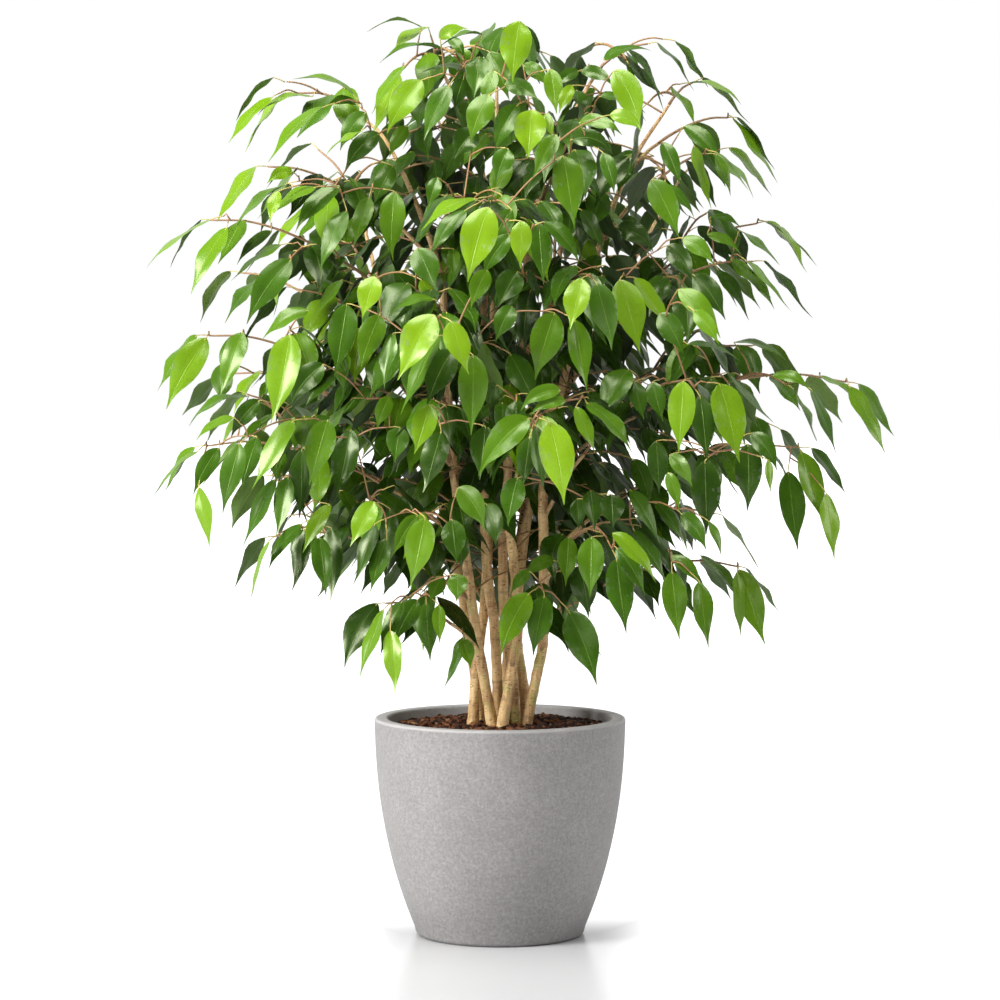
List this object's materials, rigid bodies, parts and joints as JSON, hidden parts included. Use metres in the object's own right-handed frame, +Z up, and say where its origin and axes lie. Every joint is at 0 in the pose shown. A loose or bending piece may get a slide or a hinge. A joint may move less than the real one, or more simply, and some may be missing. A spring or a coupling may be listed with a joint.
{
  "type": "potted weeping fig",
  "caption": "Bushy indoor fig tree with arching, drooping leafy shoots on slender woody stems, rooted in bark-topped soil in a round tapered planter.",
  "frame": {"origin": "centre of the planter's flat foot, on the surface that it stands on", "axes": "+Z up along the planter's axis; the plant's front, the side that the picture shows, looks along -Y; +X is to the picture's right"},
  "size_m": [0.8612, 0.7053, 1.0833],
  "materials": {
    "planter_stone": "matt, fine grey cast stone with faint mottling",
    "soil": "dark moist potting soil",
    "bark_chips": "rough dark red-brown bark",
    "stem_bark": "tan-brown bark with fine rings",
    "leaves": "glossy green leaves with a paler midrib"
  },
  "bodies": {
    "root": {"bark_mulch": "bark_chips", "planter": "planter_stone", "potting_soil": "soil", "shoot_back_46": "leaves", "shoot_back_55": "leaves", "shoot_back_60": "leaves", "shoot_back_63": "leaves", "shoot_back_66": "leaves", "shoot_back_72": "leaves", "shoot_back_77": "leaves", "shoot_back_79": "leaves", "shoot_back_80": "leaves", "shoot_back_88": "leaves", "shoot_back_89": "leaves", "shoot_front_41": "leaves", "shoot_front_50": "leaves", "shoot_front_62": "leaves", "shoot_front_64": "leaves", "shoot_front_74": "leaves", "shoot_front_78": "leaves", "shoot_front_87": "leaves", "shoot_front_95": "leaves", "shoot_left_40": "leaves", "shoot_left_48": "leaves", "shoot_left_54": "leaves", "shoot_left_58": "leaves", "shoot_left_71": "leaves", "shoot_left_77": "leaves", "shoot_left_85": "leaves", "shoot_left_91": "leaves", "shoot_right_39": "leaves", "shoot_right_44": "leaves", "shoot_right_48": "leaves", "shoot_right_50": "leaves", "shoot_right_58": "leaves", "shoot_right_64": "leaves", "shoot_right_66": "leaves", "shoot_right_70": "leaves", "shoot_right_80": "leaves", "shoot_right_85": "leaves", "shoot_right_93": "leaves", "shoot_right_97": "leaves", "shoot_top_1": "leaves", "shoot_top_2": "leaves", "shoot_top_3": "leaves", "shoot_top_4": "leaves", "shoot_top_5": "leaves", "shoot_top_6": "leaves", "shoot_top_7": "leaves", "shoot_top_8": "leaves", "shoot_top_9": "leaves", "stem_1": "stem_bark", "stem_2": "stem_bark", "stem_3": "stem_bark", "stem_4": "stem_bark", "stem_5": "stem_bark", "stem_6": "stem_bark", "stem_7": "stem_bark", "stem_8": "stem_bark", "stem_9": "stem_bark"}
  },
  "joints": []
}
